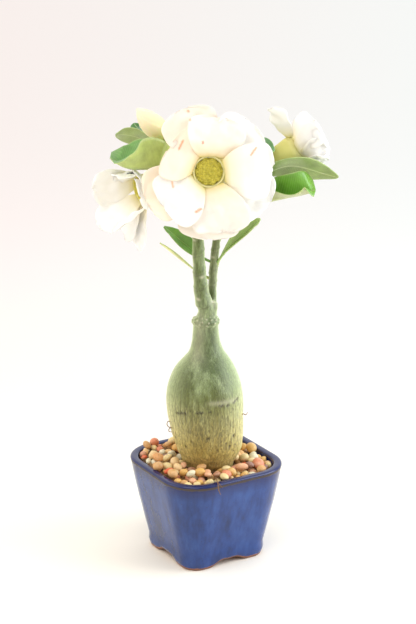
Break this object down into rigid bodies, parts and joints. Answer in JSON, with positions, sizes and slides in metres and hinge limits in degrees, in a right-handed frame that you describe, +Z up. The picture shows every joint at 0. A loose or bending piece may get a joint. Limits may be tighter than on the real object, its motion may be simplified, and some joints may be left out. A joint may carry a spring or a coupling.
{
  "type": "potted desert rose",
  "caption": "Potted desert rose in flower: square blue glazed bonsai pot with feet and gravel top, bottle-shaped caudex, branches, leaves, double white blooms and a bud.",
  "frame": {"origin": "on the surface that the pot stands on, under the middle of the pot", "axes": "+Z up, +X and +Y square to the sides of the pot; the front bloom faces between -Y and -X"},
  "size_m": [0.1205, 0.0968, 0.2668],
  "materials": {
    "pot": "glossy",
    "soil": "matte",
    "gravel": "satin",
    "stem": "satin",
    "leaf": "satin",
    "petal": "satin",
    "stamens": "matte",
    "calyx": "satin",
    "bud": "satin"
  },
  "bodies": {
    "root": {"pot": "pot", "soil": "soil", "gravel": "gravel", "caudex_and_branches": "stem", "leaf_left_near": "leaf", "leaf_left_far": "leaf", "leaf_left_top": "leaf", "leaf_left_low": "leaf", "leaf_left_back": "leaf", "leaf_right_long": "leaf", "leaf_right_near": "leaf", "leaf_right_upright": "leaf", "leaf_right_back": "leaf", "leaf_low_left_broad": "leaf", "leaf_low_left_thin": "leaf", "leaf_low_right": "leaf", "leaf_mid_right": "leaf", "flower_front_petals": "petal", "flower_front_stamens": "stamens", "flower_front_calyx_and_stalk": "calyx", "flower_left_petals": "petal", "flower_left_stamens": "stamens", "flower_left_calyx_and_stalk": "calyx", "flower_right_petals": "petal", "flower_right_stamens": "stamens", "flower_right_calyx_and_stalk": "calyx", "bud": "bud", "bud_calyx_and_stalk": "calyx"}
  },
  "joints": []
}
